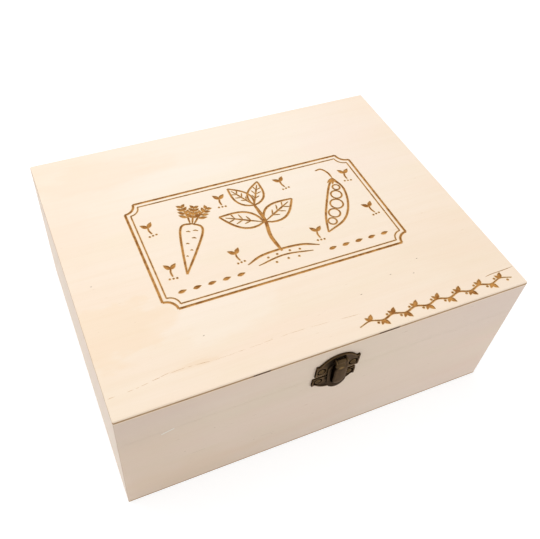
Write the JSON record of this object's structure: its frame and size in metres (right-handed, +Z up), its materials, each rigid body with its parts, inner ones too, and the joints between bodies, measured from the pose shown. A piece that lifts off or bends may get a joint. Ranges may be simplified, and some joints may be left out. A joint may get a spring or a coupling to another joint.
{
  "type": "wooden seed packet box",
  "caption": "Flat rectangular pale wooden box with a hinged lid, a dark bronze flap latch in front, and lift-out dividers for seed packets.",
  "frame": {"origin": "middle of the base's underside, which is the face the box stands on; the latch and the hinges stand proud of the front and back, so this is the middle of the box's own walls", "axes": "+Z up, +X to the right of someone facing the latch, -Y towards them; the lid's hinge is at the back"},
  "size_m": [0.25, 0.2064, 0.1],
  "materials": {
    "solid_pine": "unfinished, sanded",
    "poplar_ply": "unfinished, sanded, with a laser-burnt decoration on the lid",
    "divider_ply": "unfinished, sanded",
    "antique_bronze": "dark bronze plating, rubbed brighter on the edges"
  },
  "bodies": {
    "case": {"case_base": "poplar_ply", "case_front": "solid_pine", "case_back": "solid_pine", "case_left": "solid_pine", "case_right": "solid_pine", "partition": "divider_ply", "hinge_left_case_leaf": "antique_bronze", "hinge_left_pin": "antique_bronze", "hinge_right_case_leaf": "antique_bronze", "hinge_right_pin": "antique_bronze", "hinge_screws_case": "antique_bronze", "catch_plate": "antique_bronze", "catch_screws": "antique_bronze"},
    "lid": {"lid_panel": "poplar_ply", "lid_front": "solid_pine", "lid_back": "solid_pine", "lid_left": "solid_pine", "lid_right": "solid_pine", "hinge_left_lid_leaf": "antique_bronze", "hinge_right_lid_leaf": "antique_bronze", "hinge_screws_lid": "antique_bronze", "latch_plate": "antique_bronze", "latch_pin": "antique_bronze", "latch_screws": "antique_bronze"},
    "latch_flap": {"latch_flap": "antique_bronze"},
    "divider_left_1": {"divider_left_1": "divider_ply"},
    "divider_left_2": {"divider_left_2": "divider_ply"},
    "divider_left_3": {"divider_left_3": "divider_ply"},
    "divider_left_4": {"divider_left_4": "divider_ply"},
    "divider_left_5": {"divider_left_5": "divider_ply"},
    "divider_right_1": {"divider_right_1": "divider_ply"},
    "divider_right_2": {"divider_right_2": "divider_ply"},
    "divider_right_3": {"divider_right_3": "divider_ply"},
    "divider_right_4": {"divider_right_4": "divider_ply"},
    "divider_right_5": {"divider_right_5": "divider_ply"}
  },
  "joints": [
    {"name": "lid_hinge", "type": "hinge", "parent": "case", "child": "lid", "pos_m": [0, 0.1008, 0.0735], "axis": [-1, 0, 0], "range_deg": [0, 170]},
    {"name": "latch_flap_hinge", "type": "hinge", "parent": "lid", "child": "latch_flap", "pos_m": [0.001, -0.1016, 0.0882], "axis": [-1, 0, 0], "range_deg": [0, 100]},
    {"name": "divider_left_1_lift", "type": "slide", "parent": "case", "child": "divider_left_1", "axis": [0, 0, 1], "range_m": [0, 0.0135]},
    {"name": "divider_left_2_lift", "type": "slide", "parent": "case", "child": "divider_left_2", "axis": [0, 0, 1], "range_m": [0, 0.0135]},
    {"name": "divider_left_3_lift", "type": "slide", "parent": "case", "child": "divider_left_3", "axis": [0, 0, 1], "range_m": [0, 0.0135]},
    {"name": "divider_left_4_lift", "type": "slide", "parent": "case", "child": "divider_left_4", "axis": [0, 0, 1], "range_m": [0, 0.0135]},
    {"name": "divider_left_5_lift", "type": "slide", "parent": "case", "child": "divider_left_5", "axis": [0, 0, 1], "range_m": [0, 0.0135]},
    {"name": "divider_right_1_lift", "type": "slide", "parent": "case", "child": "divider_right_1", "axis": [0, 0, 1], "range_m": [0, 0.0135]},
    {"name": "divider_right_2_lift", "type": "slide", "parent": "case", "child": "divider_right_2", "axis": [0, 0, 1], "range_m": [0, 0.0135]},
    {"name": "divider_right_3_lift", "type": "slide", "parent": "case", "child": "divider_right_3", "axis": [0, 0, 1], "range_m": [0, 0.0135]},
    {"name": "divider_right_4_lift", "type": "slide", "parent": "case", "child": "divider_right_4", "axis": [0, 0, 1], "range_m": [0, 0.0135]},
    {"name": "divider_right_5_lift", "type": "slide", "parent": "case", "child": "divider_right_5", "axis": [0, 0, 1], "range_m": [0, 0.0135]}
  ]
}
